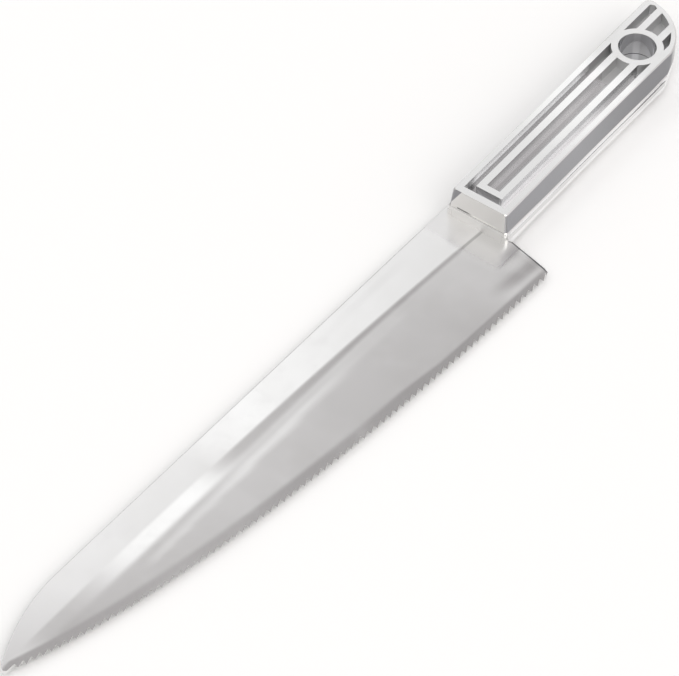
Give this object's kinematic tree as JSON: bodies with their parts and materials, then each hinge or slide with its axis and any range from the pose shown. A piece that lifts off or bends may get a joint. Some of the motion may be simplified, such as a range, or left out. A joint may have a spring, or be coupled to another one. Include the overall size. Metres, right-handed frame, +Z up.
{
  "type": "serrated serving knife",
  "caption": "Silver-coated plastic cake knife: long serrated blade with a ground face, clamped in a hollow two-piece handle with channelled relief and a hanging hole.",
  "frame": {"origin": "middle of the flat underside of the back cover, between the handle's front and the hanging hole", "axes": "+X from the blade tip towards the butt, +Y from the teeth towards the spine, +Z up out of the handle's ribbed face"},
  "size_m": [0.2863, 0.0375, 0.0122],
  "materials": {
    "blade": "silver vacuum-metallised, polished",
    "handle_front_shell": "silver vacuum-metallised, polished",
    "handle_back_cover": "silver vacuum-metallised, polished"
  },
  "bodies": {
    "root": {"blade": "blade", "handle_front_shell": "handle_front_shell", "handle_back_cover": "handle_back_cover"}
  },
  "joints": []
}
